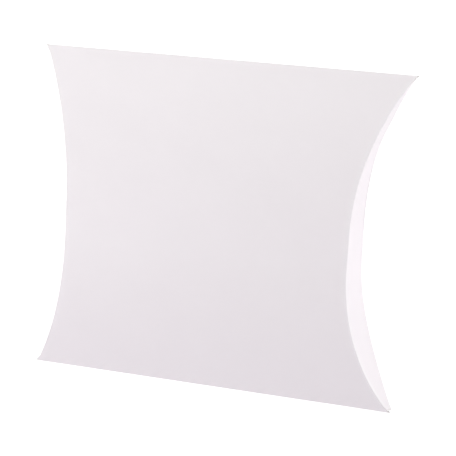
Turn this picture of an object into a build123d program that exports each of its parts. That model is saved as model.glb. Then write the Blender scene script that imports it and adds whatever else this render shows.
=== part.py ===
from build123d import *
from collections import namedtuple
import math
import os

# A white pillow box, folded and glued from one sheet of card, closed and lying on its back panel.
# X runs from end to end, Y from one side fold to the other, and Z is up. The origin is in the
# middle of the strip that the box lies on. Lengths are in millimetres.

# The closed box
box_length = 91.0  # between the corners of its two ends
box_width = 80.0  # over its two side folds
panel_rise = 11.0  # of each panel's crown from the plane of the side folds
crown_flat = 8.0  # width of the strip along each crown that has flattened

# The card and its folds
card = 0.4
fold_inner_radius = 0.2  # inside of a side fold
crease_gap = 0.15  # between an end flap and its panel, all along their crease

# The outer end flaps, folded from the front panel
outer_edge_gap = 0.5  # from the free edge up from the back panel's outside
outer_tip_trim = 1.5  # from a side fold in to the flap's tip

# The inner end flaps, folded from the back panel
nest_gap = 0.3  # from an inner flap to the outer flap that closes over it
inner_flap_depth = 14.0  # from crease to free edge, in the middle
inner_tip_trim = 3.0  # from a side fold in to the flap's tip

# The glued seam, along the side fold at -Y
glue_flap_width = 10.0
glue_flap_setback = 2.0  # of its slanting ends from the end creases
glue_gap = 0.1  # between the glue flap and the back panel
glue_clearance = 0.02  # from the film of glue to the card on either side of it
glue_margin = 1.2  # from the glue flap's edges in to the glue

# Cuts reach this far past what they cut
overrun = 5.0

# Beside each side fold, a panel's outside ends on a circle about the fold's centre: sign is the
# fold's side of the box, reach the circle's radius, and folded says if the card runs on round it.
Side = namedtuple("Side", "sign reach folded")
fold_radius = fold_inner_radius + card
fold_centre = box_width / 2 - fold_radius
lap = card + glue_gap
front = [Side(-1, fold_radius, True), Side(1, fold_radius, True)]
back = [Side(-1, fold_radius + lap, False), Side(1, fold_radius, True)]
seam = back[0]

# The back panel's creases lie inboard of the front panel's, so that its flaps fit inside
back_inset = card + nest_gap


def crown_arc(side):
    """Radius of a panel's outside on one side of its crown, and its angle where it meets the fold."""
    span = fold_centre - crown_flat / 2
    radius = (span**2 + panel_rise**2 - side.reach**2) / (2 * (panel_rise - side.reach))
    return radius, math.degrees(math.atan2(radius - panel_rise, span))


def arc(side, centre, radius, low, high, stretch):
    """An arc on one side of the box, between two angles up from that side, with stretched heights."""
    start = low if side.sign > 0 else 180 - high
    place = (side.sign * centre[0], stretch * centre[1])
    if stretch == 1:
        return CenterArc(place, radius, start, high - low)
    return EllipticalCenterArc(place, radius, stretch * radius, start, arc_size=high - low)


def half_curve(side, depth=0, stretch=1, top=90):
    """One side of a panel's curve, lying depth inside its outside, up to the angle top."""
    radius, angle = crown_arc(side)
    crown_centre = (crown_flat / 2, panel_rise - radius)
    arcs = [arc(side, crown_centre, radius - depth, angle, top, stretch)]
    if side.folded:
        arcs.append(arc(side, (fold_centre, 0), side.reach - depth, 0, angle, stretch))
    return arcs


def curve_end(side, depth=0, stretch=1):
    """The point beside the side fold where a panel's curve ends."""
    reach = side.reach - depth
    angle = 0 if side.folded else math.radians(crown_arc(side)[1])
    return Vector(side.sign * (fold_centre + reach * math.cos(angle)), stretch * reach * math.sin(angle))


def panel_curve(panel, depth=0, stretch=1):
    """A panel's whole curve across the box, as edges in a plane whose Y is the height."""
    height = stretch * (panel_rise - depth)
    crown = Line((-crown_flat / 2, height), (crown_flat / 2, height))
    return half_curve(panel[0], depth, stretch) + [crown] + half_curve(panel[1], depth, stretch)


def sheet_section(panel, depth):
    """The section of a sheet between a panel's outside and its curve at the given depth."""
    ends = [Line(curve_end(side), curve_end(side, depth)) for side in panel]
    return make_face(panel_curve(panel) + panel_curve(panel, depth) + ends)


def bounded(edges, start, end, height):
    """The region between a curve from start to end and a straight line at the given height."""
    reach = box_width / 2 + overrun
    corners = [(-reach, start.Y), (-reach, height), (reach, height), (reach, end.Y)]
    return make_face(edges + [Polyline(start, *corners, end)])


def along_x(section):
    """A section across the box, drawn out past both ends."""
    return extrude(Plane.YZ * section, amount=box_length / 2 + overrun, both=True)


def crease_side(panel, inset, height, gap=0):
    """All on one side of the mitre along the crease at +X, which lies in a plane at 45 degrees."""
    stretch = math.sqrt(2)
    ends = [curve_end(side, stretch=stretch) for side in panel]
    region = bounded(panel_curve(panel, stretch=stretch), *ends, height)
    crease_plane = Plane(origin=(box_length / 2 - inset, 0, 0), x_dir=(0, 1, 0), z_dir=(1, 0, 1))
    return extrude(crease_plane * Pos(0, -gap) * region, amount=2 * panel_rise + overrun, both=True)


def curved_panel(panel, inset):
    """A panel with its crown up, cut along the creases at both ends."""
    sheet = along_x(sheet_section(panel, card))
    beyond = crease_side(panel, inset, -overrun)
    return sheet - beyond - mirror(beyond, about=Plane.YZ)


def end_flap(panel, inset, window, tip_trim):
    """The flap that hangs from a panel's crease at +X, seen from the end through the window."""
    wall_plane = Plane(origin=(box_length / 2 - inset, 0, 0), x_dir=(0, 1, 0), z_dir=(0, 0, 1))
    wall = extrude(wall_plane * sheet_section(panel, -card), amount=panel_rise + overrun, both=True)
    between_tips = Box(2 * box_length, box_width - 2 * tip_trim, 4 * panel_rise)
    above_crease = crease_side(panel, inset, 2 * panel_rise + overrun, crease_gap)
    return (wall & between_tips & along_x(window)) - above_crease


def outer_flap():
    """The flap at +X whose free edge runs along the back panel's crease."""
    ends = [curve_end(side, outer_edge_gap) for side in back]
    window = bounded(panel_curve(back, outer_edge_gap), *ends, -panel_rise - overrun)
    return end_flap(front, 0, mirror(window, about=Plane.XZ), outer_tip_trim)


def inner_flap():
    """The flap at +X that folds in first, with the back panel's crown up."""
    start, end = Vector(-box_width / 2, 0), Vector(box_width / 2, 0)
    edge = Bezier(start, (0, 2 * (panel_rise - inner_flap_depth)), end)
    return end_flap(back, back_inset, bounded([edge], start, end, panel_rise + overrun), inner_tip_trim)


def seam_layer(depth, thickness, folded):
    """A layer inside the back panel at the seam, as wide as the glue flap, with the crown up."""
    side = seam._replace(folded=folded)
    radius, _ = crown_arc(side)
    top = glue_flap_top()
    outer, inner = depth, depth + thickness
    centre = Vector(-crown_flat / 2, panel_rise - radius)
    outward = Vector(-math.cos(math.radians(top)), math.sin(math.radians(top)))
    edges = half_curve(side, outer, top=top) + half_curve(side, inner, top=top)
    edges.append(Line(curve_end(side, outer), curve_end(side, inner)))
    edges.append(Line(centre + outward * (radius - outer), centre + outward * (radius - inner)))
    return along_x(make_face(edges))


def glue_flap_top():
    """The angle about the crown arc's centre at which the glue flap has its free edge."""
    radius, _ = crown_arc(seam)
    return math.degrees(math.acos((box_width / 2 - crown_flat / 2 - glue_flap_width) / (radius - lap)))


def glue_flap_plan():
    """The glue flap seen from above: its ends slant, to stay clear of the end creases."""
    radius, _ = crown_arc(seam)
    edge_height = panel_rise - radius * (1 - math.sin(math.radians(glue_flap_top())))
    long_half = box_length / 2 - back_inset - glue_flap_setback
    short_half = long_half - edge_height
    fold_y, edge_y = -box_width / 2, glue_flap_width - box_width / 2
    corners = [(-long_half, fold_y), (long_half, fold_y), (short_half, edge_y), (-short_half, edge_y)]
    return make_face(Polyline(*corners, close=True))


def drawn_up(plan):
    """An outline seen from above, drawn out through the whole height of the box."""
    return extrude(plan, amount=panel_rise + overrun, both=True)


def glue_flap():
    """The flap that runs on from the front panel's side fold, inside the back panel."""
    return seam_layer(lap, card, True) & drawn_up(glue_flap_plan())


def seam_glue():
    """The film of glue between the glue flap and the back panel."""
    film = seam_layer(card + glue_clearance, glue_gap - 2 * glue_clearance, False)
    return film & drawn_up(offset(glue_flap_plan(), -glue_margin))


# Pieces below the plane of the side folds are made crown up, then turned over
def turned_over(piece):
    return mirror(piece, about=Plane.XY)


parts = {
    "front_panel": curved_panel(front, 0),
    "back_panel": turned_over(curved_panel(back, back_inset)),
    "glue_flap": turned_over(glue_flap()),
    "seam_glue": turned_over(seam_glue()),
}
for name, flap in {"outer_flap": outer_flap(), "inner_flap": turned_over(inner_flap())}.items():
    parts["right_" + name] = flap
    parts["left_" + name] = mirror(flap, about=Plane.YZ)

os.makedirs("parts", exist_ok=True)
for name, piece in parts.items():
    export_step(Pos(0, 0, panel_rise) * piece, f"parts/{name}.step")
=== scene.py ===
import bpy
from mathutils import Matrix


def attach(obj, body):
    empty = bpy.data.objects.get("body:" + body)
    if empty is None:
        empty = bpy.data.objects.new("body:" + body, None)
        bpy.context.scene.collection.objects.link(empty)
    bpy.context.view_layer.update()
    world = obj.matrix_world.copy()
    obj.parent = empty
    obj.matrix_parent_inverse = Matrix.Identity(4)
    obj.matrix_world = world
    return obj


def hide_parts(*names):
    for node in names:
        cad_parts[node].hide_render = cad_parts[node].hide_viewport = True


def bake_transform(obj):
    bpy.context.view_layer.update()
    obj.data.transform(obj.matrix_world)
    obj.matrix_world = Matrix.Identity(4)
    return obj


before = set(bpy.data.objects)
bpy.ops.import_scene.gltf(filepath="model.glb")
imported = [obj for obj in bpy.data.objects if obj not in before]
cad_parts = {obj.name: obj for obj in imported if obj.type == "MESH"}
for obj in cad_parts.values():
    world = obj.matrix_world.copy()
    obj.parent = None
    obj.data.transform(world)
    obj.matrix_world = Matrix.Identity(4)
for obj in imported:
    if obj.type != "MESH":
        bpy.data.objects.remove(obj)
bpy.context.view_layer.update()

import math

import bpy
import numpy as np
from mathutils import Matrix, Vector

# A white pillow box, closed and lying on its back panel. Lengths are in millimetres up to where a
# mesh is made. Z is measured from the plane of the side folds, and MM turns all into metres.
MM = 0.001

# The box, as in its solids
LENGTH, WIDTH, RISE, CROWN_FLAT = 91.0, 80.0, 11.0, 8.0
CARD = 0.4
FOLD_RADIUS = 0.6
FOLD_CENTRE = WIDTH / 2 - FOLD_RADIUS
LAP = 0.5  # from the back panel's outside in to the glue flap's
BACK_INSET = 0.7  # from the front panel's creases in to the back panel's
BACK_INSET_EASE = 3  # the width beside the side fold at +Y over which that inset sets in
GLUE_FLAP_WIDTH, GLUE_FLAP_SETBACK = 10.0, 2.0

# From here to the inner flaps, a group of numbers tells where something sets in, over what width,
# and how much of it there is beyond. Without the last number, it rises to 1.

# The creases, which are round but for a little way beside each side fold, where they are sharp
CREASE_RADIUS = 0.25
ROUND_CREASE = (0.8, 0.7)
LEAST_TURN = 0.001  # share of the turn that is left where a crease is sharp, in place of 0

# The cut edges
EDGE_BEVEL = 0.06
OUTER_TIP, INNER_TIP = 39.2, 37.0  # where the flaps end, from the middle
OUTER_CORNER, INNER_CORNER = 0.5, 2.0  # radii of the corners at those tips
TIP_THINNING = (20, 17, 0.12)  # of a flap's card beside its crease, towards the tips

# How far wear reaches from a crease and from a cut edge
CREASE_WEAR, EDGE_WEAR = 0.8, 0.5

# How far the panels stand off their true curves, and the margins that stay true beside the side
# folds, the ends and the strip that the box lies on
UNEVEN_HEIGHT = 0.05
FOLD_MARGIN, END_MARGIN, REST_MARGIN = (3, 14), (12, 16), (1, 12)

# The free edge of an outer flap, above the back panel's crease, and how much lower at its tips
EDGE_GAP, TIP_DROP = 0.8, (24, 14, 0.4)

# The right end wall has tucked in, most of all on one stretch towards its far side, and its two
# tips stand out. The left end wall has tucked in less, and evenly.
DIP_FROM, DIP_TO, DIP_EASE = -4, 22, 8
DIP_GAP, DIP_LEAN, DIP_PUSH = 0.6, 0.25, 0.75
RIGHT_LEAN, RIGHT_FAR_TIP, RIGHT_NEAR_TIP = -0.49, (22, 8, 0.59), (8, 26, 1.39)
LEFT_LEAN, LEFT_TIPS = -0.35, (20, 14, 0.5)
LEAN_POWER = 1.2

# The inner flaps are pushed in by the outer ones, and reach that lean a little past their crease
RIGHT_PUSH, LEFT_PUSH = 0.75, 0.5
PUSHED_OVER = 1.3
INNER_EDGE_DROP = 3.0  # of the free edge's middle below the plane of the side folds, crown up

# The mesh
CROWN_STEPS, TIP_STEPS, FOLD_STEPS, FLAT_STEPS = 30, 3, 8, 6
PANEL_STEPS, CREASE_STEPS, FLAP_STEPS = 34, 4, 22

# How a flap would bend when it opens, which this script does not do: over which depth along the
# normal of its crease's plane, how much later for each millimetre that its crease lies below the
# crown, and how much later everywhere
OUTER_BEND, INNER_BEND = (6.0, 1.0, 0.0), (7.0, 1.25, 1.5)

UV_MM = 100.0  # millimetres of card to one unit of its UV map


def smooth(value):
    t = np.clip(value, 0, 1)
    return t * t * (3 - 2 * t)


def eased(value, start, over, amount=1):
    """0 up to start and amount from a width past it, smoothly."""
    return amount * smooth((value - start) / over)


def unit(vectors):
    return vectors / np.linalg.norm(vectors, axis=-1, keepdims=True)


# Curves across the box

def crown_radius(reach):
    span = FOLD_CENTRE - CROWN_FLAT / 2
    return (span**2 + RISE**2 - reach**2) / (2 * (RISE - reach))


def half_section(reach, tip, folded=True, depth=0.0, top=90.0):
    """Points from high on a panel's curve out to its side fold, with one beyond the end."""
    radius = crown_radius(reach)
    last = math.atan2(radius - RISE, FOLD_CENTRE - CROWN_FLAT / 2)
    trim = math.acos((tip - CROWN_FLAT / 2) / radius)
    angles = np.r_[np.linspace(math.radians(top), trim, CROWN_STEPS + 1),
                   np.linspace(trim, last, TIP_STEPS + 1)[1:]]
    if not folded:
        angles = np.r_[angles, 2 * angles[-1] - angles[-2]]
    crown = np.c_[CROWN_FLAT / 2 + (radius - depth) * np.cos(angles),
                  RISE - radius + (radius - depth) * np.sin(angles)]
    if not folded:
        return crown
    turns = np.linspace(last, 0, FOLD_STEPS + 1)[1:]
    turns = np.r_[turns, 2 * turns[-1] - turns[-2]]
    radius = reach - depth
    fold = np.c_[FOLD_CENTRE + radius * np.cos(turns), radius * np.sin(turns)]
    return np.r_[crown, fold]


def section(low, high):
    """A panel's whole curve, crown up, from the side fold at -Y to the one at +Y."""
    flat = np.linspace(-CROWN_FLAT / 2, CROWN_FLAT / 2, FLAT_STEPS + 1)[1:-1]
    return np.r_[low[::-1] * (-1, 1), np.c_[flat, np.full(len(flat), RISE)], high]


front_half = half_section(FOLD_RADIUS, OUTER_TIP)
front_curve = section(front_half, front_half)
back_curve = section(half_section(FOLD_RADIUS + LAP, INNER_TIP, folded=False),
                     half_section(FOLD_RADIUS, INNER_TIP))


# The free edges of the flaps, as heights with the crown of their own panel up

def rounded_tip(y, tip, radius):
    """How much shorter a flap gets towards its tips, whose corners are round."""
    past = (np.abs(y) - (tip - radius)).clip(0, radius)
    return radius - np.sqrt(radius**2 - past**2)


def dip(y):
    """1 on the stretch of the right end where its flaps have tucked in furthest."""
    return eased(y, DIP_FROM, DIP_EASE) * eased(-y, -DIP_TO, DIP_EASE)


def outer_edge(y):
    back_height = np.interp(y, *back_curve.T)
    gap = EDGE_GAP - eased(np.abs(y), *TIP_DROP) + DIP_GAP * dip(y)
    return gap - back_height + rounded_tip(y, OUTER_TIP, OUTER_CORNER)


def inner_edge(y):
    share = y / WIDTH + 0.5
    return rounded_tip(y, INNER_TIP, INNER_CORNER) - 4 * INNER_EDGE_DROP * share * (1 - share)


# How the flaps lean. Each has the lean of its outside in X, by y, by the share of the way down it
# and by the millimetres past its crease, and the angle past a right angle at which it leaves that
# crease, by y.

def leaning(amount):
    """An outer flap whose free edge leans out by an amount for each y."""
    return (lambda y, share, past: amount(y) * share**LEAN_POWER), np.zeros_like


def pushed_in(amount):
    """An inner flap that its outer flap has pushed in by an amount for each y."""
    return (lambda y, share, past: -amount(y) * (1 - np.exp(-past / PUSHED_OVER)),
            lambda y: np.arctan(amount(y) / PUSHED_OVER))


def right_outer_lean(y):
    return (RIGHT_LEAN - DIP_LEAN * dip(y) + eased(y, *RIGHT_FAR_TIP)
            + eased(-y, *RIGHT_NEAR_TIP))


def left_outer_lean(y):
    return LEFT_LEAN + eased(np.abs(y), *LEFT_TIPS)


# The sheet on either side of a crease

def unevenness(x, y):
    """How far the card stands off its true curve: a little, and nothing near folds and creases."""
    margin = (eased(WIDTH / 2 - np.abs(y), *FOLD_MARGIN)
              * eased(LENGTH / 2 - np.abs(x), *END_MARGIN))
    waves = (np.sin(0.11 * x + 0.6) * np.cos(0.09 * y - 0.4)
             + 0.6 * np.sin(0.17 * x - 0.13 * y + 1.9) + 0.5 * np.cos(0.07 * x + 0.19 * y))
    return UNEVEN_HEIGHT * margin * waves


def off_the_rest(y):
    """0 along the strip that the box lies on, and 1 from a little way off it."""
    return eased(np.abs(y) - CROWN_FLAT / 2, *REST_MARGIN)


def path_rows(curve, inset, edge, lean, over):
    """The outside of one half of a sheet, from its middle over the crease at +X to the flap's edge.

    Rows run along X and then down the flap, and columns are the points of the curve. Rows up to
    number PANEL_STEPS are the panel, the next 2 * CREASE_STEPS go round the crease, and the rest
    are the flap. over gives the angle by which the crease is folded past a right angle, by y.
    """
    y, z = curve.T
    crease_x = LENGTH / 2 - inset - z
    turn = eased(WIDTH / 2 - np.abs(y), *ROUND_CREASE).clip(LEAST_TURN)
    radius = CREASE_RADIUS / turn
    start = crease_x - CREASE_RADIUS * (turn + (1 - turn) * math.pi / 4)
    rows = [np.c_[share * start, y, z] for share in np.linspace(0, 1, PANEL_STEPS + 1)]
    for step in range(1, 2 * CREASE_STEPS + 1):
        past_half = max(0, step - CREASE_STEPS)
        angle = turn * (math.pi / 4 * step + over(y) * past_half) / CREASE_STEPS
        rows.append(np.c_[start + radius * np.sin(angle), y, z - radius * (1 - np.cos(angle))])
    begin, _, top = rows[-1].T
    for share in np.linspace(0, 1, FLAP_STEPS + 1)[1:]:
        height = top + share * (edge - top)
        rows.append(np.c_[begin + lean(y, share, top - height), y, height])
    return np.array(rows)


def facing(grid, outward):
    """Unit normals of a grid of points, on the side that outward gives for its middle point."""
    normal = unit(np.cross(np.gradient(grid, axis=0), np.gradient(grid, axis=1)))
    row, column = (size // 2 for size in grid.shape[:2])
    return normal * np.sign(normal[row, column] @ outward)


def lengths(grid, axis):
    """Distance along a grid from its first row or column."""
    steps = np.linalg.norm(np.diff(grid, axis=axis), axis=-1)
    return np.insert(np.cumsum(steps, axis=axis), 0, 0, axis=axis)


def edge_wear(grid, joined):
    """1 at a sheet's cut edges, falling away over half a millimetre."""
    down, across = lengths(grid, 0), lengths(grid, 1)
    ways = {"first": down, "last": down[-1] - down, "low": across, "high": across[:, -1:] - across}
    nearest = np.min([way for border, way in ways.items() if border not in joined], axis=0)
    return np.exp(-(nearest / EDGE_WEAR) ** 2)


def crease_wear(grid, creases):
    """1 along the creases, falling away over a millimetre."""
    way = lengths(grid, 0)
    return np.max([np.exp(-((way - way[row]) / CREASE_WEAR) ** 2) for row in creases], axis=0)


# Materials

def add(tree, kind, inputs=(), **properties):
    """A new shader node. inputs gives values, or other nodes' outputs, by input name or number."""
    made = tree.nodes.new("ShaderNode" + kind)
    for name, value in properties.items():
        setattr(made, name, value)
    for name, value in dict(inputs).items():
        if isinstance(value, bpy.types.NodeSocket):
            tree.links.new(value, made.inputs[name])
        else:
            made.inputs[name].default_value = value
    return made


def start_material(name):
    material = bpy.data.materials.new(name)
    material.use_nodes = True
    return material, material.node_tree, material.node_tree.nodes["Principled BSDF"]


def scaled(tree, place, factor):
    inputs = {0: place, 1: (factor, factor, factor)}
    return add(tree, "VectorMath", inputs, operation="MULTIPLY").outputs["Vector"]


def noise(tree, place, size, detail=3.0, stretch=(1, 1, 1), distortion=0.0):
    """Noise whose features are size millimetres across, times stretch along each axis."""
    scale = tuple(1 / (size * way) for way in stretch)
    mapping = add(tree, "Mapping", {"Vector": place, "Scale": scale})
    inputs = {"Vector": mapping.outputs["Vector"], "Scale": 1.0, "Detail": detail,
              "Roughness": 0.55, "Distortion": distortion}
    return add(tree, "TexNoise", inputs).outputs["Fac"]


def mixed(tree, kind, factor, a, b):
    """A number or colour between a and b."""
    first = {"FLOAT": 2, "RGBA": 6}[kind]
    made = add(tree, "Mix", {0: factor, first: a, first + 1: b}, data_type=kind)
    return made.outputs[0 if kind == "FLOAT" else 2]


def spread(tree, value, low, high, to_low=0.0, to_high=1.0):
    """A value drawn out from the range low to high to another, smoothly, and held at its ends."""
    inputs = {"Value": value, "From Min": low, "From Max": high,
              "To Min": to_low, "To Max": to_high}
    return add(tree, "MapRange", inputs, interpolation_type="SMOOTHSTEP").outputs["Result"]


def combined(tree, operation, a, b):
    return add(tree, "Math", {0: a, 1: b}, operation=operation).outputs["Value"]


def mask(tree, name):
    return add(tree, "Attribute", attribute_name=name).outputs["Fac"]


def bump(tree, height, distance, below=None):
    """Relief of the given depth in millimetres, on top of the relief below."""
    inputs = {"Height": height, "Distance": distance * MM}
    if below is not None:
        inputs["Normal"] = below
    return add(tree, "Bump", inputs).outputs["Normal"]


def card_material(name, light, dark, worn, roughness, sheen, cloud, fibre, relief):
    """Card with a cloudy tone, fibres along the sheet, and rougher, paler creases and cut edges.

    cloud and fibre are sizes in millimetres, and relief gives the depths of the card's waviness,
    its fibres and the cracks where it is worn.
    """
    material, tree, shader = start_material(name)
    place = scaled(tree, add(tree, "UVMap", uv_map="Blank").outputs["UV"], UV_MM)
    clouds = noise(tree, place, cloud, detail=2.0)
    fibres = noise(tree, place, fibre, detail=4.0, stretch=(3.2, 0.8, 1), distortion=0.35)
    specks = noise(tree, place, 0.35, detail=2.0)
    cracks = noise(tree, place, 0.22, detail=3.0, stretch=(1, 4, 1))
    waviness = noise(tree, place, 1.6, detail=1.0)
    handled = combined(tree, "MAXIMUM", mask(tree, "wear"), mask(tree, "edge"))
    scuffed = combined(tree, "MULTIPLY", handled, spread(tree, specks, 0.35, 0.6, 0.25, 1.0))

    tone = spread(tree, mixed(tree, "FLOAT", 0.35, clouds, fibres), 0.34, 0.66)
    colour = mixed(tree, "RGBA", tone, (*dark, 1), (*light, 1))
    colour = mixed(tree, "RGBA", scuffed, colour, (*worn, 1))
    tree.links.new(colour, shader.inputs["Base Color"])

    even = spread(tree, mixed(tree, "FLOAT", 0.5, fibres, clouds), 0.3, 0.7, *roughness)
    rough = mixed(tree, "FLOAT", scuffed, even, roughness[1] + 0.15)
    tree.links.new(rough, shader.inputs["Roughness"])

    surface = bump(tree, waviness, relief[0])
    surface = bump(tree, fibres, relief[1], below=surface)
    surface = bump(tree, combined(tree, "MULTIPLY", cracks, handled), relief[2], below=surface)
    tree.links.new(surface, shader.inputs["Normal"])

    shader.inputs["Sheen Weight"].default_value = sheen[0]
    shader.inputs["Sheen Roughness"].default_value = sheen[1]
    return material


def cut_edge_material():
    """The raw edge of the card, where a knife has opened its fibres."""
    material, tree, shader = start_material("card_cut_edge")
    place = scaled(tree, add(tree, "TexCoord").outputs["Object"], 1 / MM)
    fibres = noise(tree, place, 0.16, detail=3.0)
    patches = noise(tree, place, 1.8, detail=2.0)
    tone = spread(tree, mixed(tree, "FLOAT", 0.5, fibres, patches), 0.3, 0.7)
    colour = mixed(tree, "RGBA", tone, (0.70, 0.675, 0.66, 1), (0.79, 0.765, 0.75, 1))
    tree.links.new(colour, shader.inputs["Base Color"])
    tree.links.new(spread(tree, fibres, 0.3, 0.7, 0.78, 0.95), shader.inputs["Roughness"])
    tree.links.new(bump(tree, fibres, 0.02), shader.inputs["Normal"])
    return material


def glue_material():
    """A dried film of white glue, thin and glassy in places and cloudy in others."""
    material, tree, shader = start_material("dried_glue")
    place = scaled(tree, add(tree, "TexCoord").outputs["Object"], 1 / MM)
    strokes = noise(tree, place, 1.5, detail=3.0, stretch=(4, 1, 1), distortion=0.6)
    cells = add(tree, "TexVoronoi", {"Vector": place, "Scale": 1.1, "Randomness": 1.0})
    bubbles = spread(tree, cells.outputs["Distance"], 0.05, 0.3)
    tone = spread(tree, strokes, 0.3, 0.7)
    colour = mixed(tree, "RGBA", tone, (0.76, 0.71, 0.58, 1), (0.83, 0.81, 0.74, 1))
    tree.links.new(colour, shader.inputs["Base Color"])
    tree.links.new(spread(tree, strokes, 0.3, 0.7, 0.22, 0.42), shader.inputs["Roughness"])
    surface = bump(tree, strokes, 0.02, below=bump(tree, bubbles, 0.01))
    tree.links.new(surface, shader.inputs["Normal"])
    shader.inputs["Transmission Weight"].default_value = 0.25
    shader.inputs["IOR"].default_value = 1.47
    return material


# In the order of the slots of every sheet: its outside, its inside and its cut edges
OUTSIDE, INSIDE, CUT_EDGE = range(3)
CARD_MATERIALS = (
    card_material("card_coated", light=(0.869, 0.826, 0.853), dark=(0.861, 0.818, 0.845),
                  worn=(0.880, 0.848, 0.868), roughness=(0.50, 0.60), sheen=(0.04, 0.4),
                  cloud=11.0, fibre=0.9, relief=(0.010, 0.004, 0.020)),
    card_material("card_inside", light=(0.850, 0.812, 0.828), dark=(0.832, 0.794, 0.808),
                  worn=(0.845, 0.81, 0.825), roughness=(0.70, 0.85), sheen=(0.10, 0.5),
                  cloud=7.0, fibre=1.4, relief=(0.015, 0.016, 0.020)),
    cut_edge_material(),
)


# Meshes

BORDERS = {"first": np.s_[0], "last": np.s_[-1], "low": np.s_[:, 0], "high": np.s_[:, -1]}


def ways_out(grid):
    """Unit directions along a grid of points and out over each of its borders."""
    ways = {"first": grid[0] - grid[1], "last": grid[-1] - grid[-2],
            "low": grid[:, 0] - grid[:, 1], "high": grid[:, -1] - grid[:, -2]}
    return {border: unit(way) for border, way in ways.items()}


def round_the_border(rows, columns):
    """The index of each border point of a grid, once round it."""
    loop = [(0, j) for j in range(columns - 1)]
    loop += [(i, columns - 1) for i in range(rows - 1)]
    loop += [(rows - 1, j) for j in range(columns - 1, 0, -1)]
    loop += [(i, 0) for i in range(rows - 1, 0, -1)]
    return tuple(np.array(loop).T)


def card_sheet(name, grid, normal, wear, depth, joined):
    """A closed sheet of card under a grid of points. joined names the borders that meet another.

    Its points are the outside, the inside and two loops between them, round the bevelled edge.
    """
    rows, columns = grid.shape[:2]
    size = rows * columns
    pulled, rim = grid.copy(), np.zeros_like(grid)
    for border, way in ways_out(grid).items():
        rim[BORDERS[border]] += way
        if border not in joined:
            pulled[BORDERS[border]] -= EDGE_BEVEL * way
    at = round_the_border(rows, columns)
    count = len(at[0])
    points = np.concatenate([
        pulled.reshape(-1, 3),
        (pulled - depth[..., None] * normal).reshape(-1, 3),
        grid[at] - EDGE_BEVEL * normal[at],
        grid[at] - (depth[at] - EDGE_BEVEL)[:, None] * normal[at],
    ])

    number = np.arange(size).reshape(rows, columns)
    corners = [number[:-1, :-1], number[1:, :-1], number[1:, 1:], number[:-1, 1:]]
    upper = np.stack(corners, -1).reshape(-1, 4)
    flat_normal = normal.reshape(-1, 3)
    a, b, c, _ = upper[len(upper) // 2 + columns // 2]
    faces_away = np.cross(points[b] - points[a], points[c] - points[b]) @ flat_normal[a] < 0
    order = np.s_[:, ::-1] if faces_away else np.s_[:, :]
    upper = upper[order]
    lower = upper[:, ::-1]
    faces = [upper, lower + size]
    normals = [flat_normal[upper], -flat_normal[lower]]
    loops = [number[at], 2 * size + np.arange(count), 2 * size + count + np.arange(count),
             size + number[at]]
    out = unit(rim[at])
    sides = [normal[at], out, out, -normal[at]]
    for above, below in ((0, 1), (1, 2), (2, 3)):
        turns = ((above, 0), (above, -1), (below, -1), (below, 0))
        faces.append(np.stack([np.roll(loops[k], turn) for k, turn in turns], 1)[order])
        normals.append(np.stack([np.roll(sides[k], turn, axis=0) for k, turn in turns], 1)[order])
    faces = np.concatenate(faces)
    slots = np.repeat([OUTSIDE, INSIDE, CUT_EDGE], [len(upper), len(lower), 3 * count])

    mesh = bpy.data.meshes.new(name)
    from_table = np.array([0, 0, RISE])
    mesh.from_pydata(((points + from_table) * MM).tolist(), [], faces.tolist())
    for material in CARD_MATERIALS:
        mesh.materials.append(material)
    mesh.polygons.foreach_set("material_index", slots)
    mesh.polygons.foreach_set("use_smooth", np.ones(len(faces), bool))
    flat = np.stack([lengths(grid, 0), lengths(grid, 1)], -1) / UV_MM
    flat = np.concatenate([flat.reshape(-1, 2), flat.reshape(-1, 2), flat[at], flat[at]])
    uv = mesh.uv_layers.new(name="Blank")
    uv.uv.foreach_set("vector", flat[faces.ravel()].astype(np.float32).ravel())
    for label, share in (("wear", wear), ("edge", edge_wear(grid, joined))):
        shares = np.concatenate([share.ravel(), share.ravel(), share[at], share[at]])
        values = mesh.attributes.new(label, "FLOAT", "POINT").data
        values.foreach_set("value", shares.astype(np.float32))
    mesh.update()
    mesh.normals_split_custom_set(np.concatenate(normals).reshape(-1, 3).tolist())
    piece = bpy.data.objects.new(name, mesh)
    bpy.context.scene.collection.objects.link(piece)
    return piece


def flap_depths(whole, y, depth, creases):
    """Thicknesses on the flaps' side of the creases.

    A flap is thinner towards its tips near its crease, so that it stays under its panel there.
    """
    down, depth = lengths(whole, 0), depth.copy()
    thin = CREASE_RADIUS - eased(np.abs(y), *TIP_THINNING)
    low, high = creases
    for row, away, beyond in ((low, -1, np.s_[:low + 1]), (high, 1, np.s_[high:])):
        past = away * (down[beyond] - down[row + away * CREASE_STEPS])
        depth[beyond] = np.minimum(depth[beyond], thin + past.clip(0))
    return depth


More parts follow.
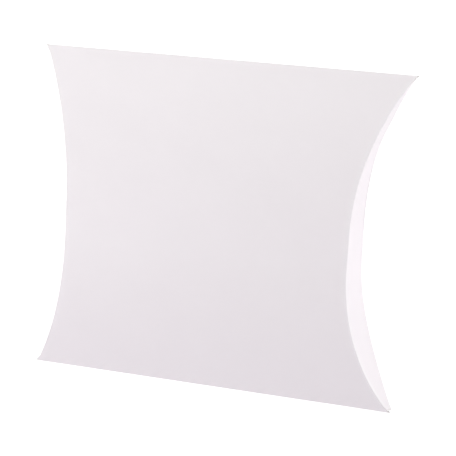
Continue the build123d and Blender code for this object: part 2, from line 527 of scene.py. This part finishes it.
def panel_and_flaps(panel, flap, curve, inset, right_side, left_side, edge, tip, turned_over):
    """A panel and the two flaps folded from it, as three sheets that meet at the creases."""
    y = curve[:, 0]
    right = path_rows(curve, inset, edge(y), *right_side)
    left = path_rows(curve, inset, edge(y), *left_side) * (-1, 1, 1)
    whole = np.concatenate([left[::-1], right[1:]])
    stands_off = unevenness(whole[..., 0], whole[..., 1])
    if turned_over:
        stands_off *= off_the_rest(whole[..., 1])
    whole[..., 2] += stands_off
    normal = facing(whole, np.array([0, 0, 1]))
    to_crease = PANEL_STEPS + CREASE_STEPS
    low, high = creases = len(left) - 1 - to_crease, len(left) - 1 + to_crease
    wear = crease_wear(whole, creases)
    if turned_over:
        whole, normal = whole * (1, 1, -1), normal * (1, 1, -1)
    depth = np.full(wear.shape, CARD)
    for row in creases:
        depth[row - CREASE_STEPS + 1:row + CREASE_STEPS] = CREASE_RADIUS
    flap_depth = flap_depths(whole, y, depth, creases)
    on_panel = [grid[low:high + 1, 1:-1] for grid in (whole, normal, wear, depth)]
    made = {panel: card_sheet(f"{panel}_sheet", *on_panel, joined=("first", "last"))}
    columns = np.flatnonzero(np.abs(y) <= tip + 1e-6)
    for side, rows, joined in (("left", np.s_[:low + 1], "last"), ("right", np.s_[high:], "first")):
        on_flap = [grid[rows][:, columns] for grid in (whole, normal, wear, flap_depth)]
        made[side] = card_sheet(f"{side}_{flap}_sheet", *on_flap, joined=(joined,))
    return made


def build_glue_flap():
    """The flap that runs on from the front panel's side fold at -Y, inside the back panel."""
    reach = FOLD_RADIUS + LAP
    across = (WIDTH / 2 - CROWN_FLAT / 2 - GLUE_FLAP_WIDTH) / (crown_radius(reach) - LAP)
    top = math.degrees(math.acos(across))
    y, z = (half_section(reach, INNER_TIP, depth=LAP, top=top) * (-1, 1)).T
    long_half = LENGTH / 2 - BACK_INSET - GLUE_FLAP_SETBACK
    half = long_half - z[0] / GLUE_FLAP_WIDTH * (y + WIDTH / 2)
    shares = np.linspace(-1, 1, 2 * PANEL_STEPS + 1)
    grid = np.stack([np.c_[share * half, y, z] for share in shares])
    normal = facing(grid, np.array([0, -0.5, 0.8]))
    grid, normal = ((values * (1, 1, -1))[:, :-1] for values in (grid, normal))
    shape = grid.shape[:2]
    return card_sheet("glue_flap_sheet", grid, normal, np.zeros(shape), np.full(shape, CARD),
                      joined=("high",))


front = panel_and_flaps("front_panel", "outer_flap", front_curve, 0.0, leaning(right_outer_lean),
                        leaning(left_outer_lean), outer_edge, OUTER_TIP, turned_over=False)
back_inset = BACK_INSET * eased(WIDTH / 2 - back_curve[:, 0], 0, BACK_INSET_EASE)
back = panel_and_flaps("back_panel", "inner_flap", back_curve, back_inset,
                       pushed_in(lambda y: RIGHT_PUSH + DIP_PUSH * dip(y)),
                       pushed_in(lambda y: np.full_like(y, LEFT_PUSH)),
                       inner_edge, INNER_TIP, turned_over=True)
glue_flap = build_glue_flap()

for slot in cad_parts["seam_glue"].material_slots:
    slot.material = glue_material()

for piece, node in ((front["front_panel"], "front_panel"), (back["back_panel"], "back_panel"),
                    (glue_flap, "glue_flap")):
    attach(piece, "sleeve")
    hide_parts(node)

for side, sign in (("right", 1), ("left", -1)):
    for flap, kind, up, inset, (bend, delay, lag) in (
            (front[side], "outer", 1, 0.0, OUTER_BEND),
            (back[side], "inner", -1, BACK_INSET, INNER_BEND)):
        body = f"{side}_{kind}_flap"
        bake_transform(flap)
        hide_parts(body)


# The camera, fitted to the photo's outline. FOCAL is in pixels of a square photo.
PHOTO_SIDE, FOCAL = 456, 1408.7
SENSOR = 36.0
TO_RIGHT = np.array([0.95719, 0.05927, -0.28324])
DOWN = np.array([0.11391, -0.97701, 0.18036])
FORWARD = np.array([-0.26604, -0.20496, -0.94194])
CAMERA_PLACE = np.array([92.62, 69.03, 317.66 + RISE]) * MM

camera_data = bpy.data.cameras.new("camera")
camera_data.sensor_width = SENSOR
camera_data.lens = FOCAL * SENSOR / PHOTO_SIDE
camera_data.clip_start, camera_data.clip_end = 0.01, 10.0
camera = bpy.data.objects.new("camera", camera_data)
bpy.context.scene.collection.objects.link(camera)
bpy.context.scene.camera = camera
turned = Matrix(np.c_[TO_RIGHT, -DOWN, -FORWARD].tolist()).to_4x4()
camera.matrix_world = Matrix.Translation(CAMERA_PLACE.tolist()) @ turned

# The floor, in metres. It glows a little, and more further out, where the lights don't reach it.
FLOOR_HALF = 9
GLOW_FROM, GLOW_TO = (0.1, 0.37), (0.6, 0.77)  # distance from the middle, and strength

floor_material, floor_tree, floor_shader = start_material("floor")
floor_shader.inputs["Base Color"].default_value = (0.9, 0.9, 0.9, 1)
floor_shader.inputs["Roughness"].default_value = 0.9
floor_shader.inputs["Emission Color"].default_value = (1, 1, 1, 1)
floor_place = add(floor_tree, "TexCoord").outputs["Object"]
from_middle = add(floor_tree, "VectorMath", {0: floor_place}, operation="LENGTH").outputs["Value"]
distances, strengths = zip(GLOW_FROM, GLOW_TO)
glow = spread(floor_tree, from_middle, *distances, *strengths)
floor_tree.links.new(glow, floor_shader.inputs["Emission Strength"])

floor_mesh = bpy.data.meshes.new("floor")
corners = ((-1, -1), (1, -1), (1, 1), (-1, 1))
corners = [(x * FLOOR_HALF, y * FLOOR_HALF, 0) for x, y in corners]
floor_mesh.from_pydata(corners, [], [(0, 1, 2, 3)])
floor_mesh.materials.append(floor_material)
floor = bpy.data.objects.new("floor", floor_mesh)
bpy.context.scene.collection.objects.link(floor)

# The sky's brightness by height, from the horizon to overhead, and its tints at -Y and +Y
SKY = ((0.0, 1.12), (0.22, 1.12), (0.28, 0.576), (0.57, 0.576), (0.63, 0.176), (1.0, 0.176))
NEAR_TINT, FAR_TINT = (1.0, 0.945, 1.015, 1), (1.0, 1.02, 0.985, 1)

world = bpy.data.worlds.new("studio")
bpy.context.scene.world = world
world.use_nodes = True
sky_tree = world.node_tree
sky = sky_tree.nodes["Background"]
direction = add(sky_tree, "TexCoord").outputs["Generated"]
split = add(sky_tree, "SeparateXYZ", {"Vector": direction})
ramp = add(sky_tree, "ValToRGB", {"Fac": split.outputs["Z"]})
for place, _ in SKY[1:-1]:
    ramp.color_ramp.elements.new(place)
for element, (place, strength) in zip(ramp.color_ramp.elements, SKY):
    element.position = place
    element.color = (strength, strength, strength, 1)
across = spread(sky_tree, split.outputs["Y"], -0.8, 0.8)
tint = mixed(sky_tree, "RGBA", across, NEAR_TINT, FAR_TINT)
sky_tree.links.new(tint, sky.inputs["Color"])
sky_tree.links.new(ramp.outputs["Color"], sky.inputs["Strength"])

# Soft square lights that face the box: place and side in metres, power in watts
LIGHTS = {
    "right": ((0.50, 0.00, 0.50), 0.35, 1.56),
    "left": ((-0.20, -0.05, 0.25), 0.15, 0.325),
    "back": ((-0.10, 0.22, 0.22), 0.15, 0.185),
    "overhead": ((0.10, 0.10, 0.80), 0.35, 0.235),
}
for name, (place, side, power) in LIGHTS.items():
    light_data = bpy.data.lights.new(name, "AREA")
    light_data.shape = "SQUARE"
    light_data.size = side
    light_data.energy = power
    light = bpy.data.objects.new(name, light_data)
    bpy.context.scene.collection.objects.link(light)
    light.location = place
    light.rotation_mode = "QUATERNION"
    light.rotation_quaternion = (-Vector(place)).to_track_quat("-Z", "Y")

bpy.context.scene.view_settings.view_transform = "Standard"
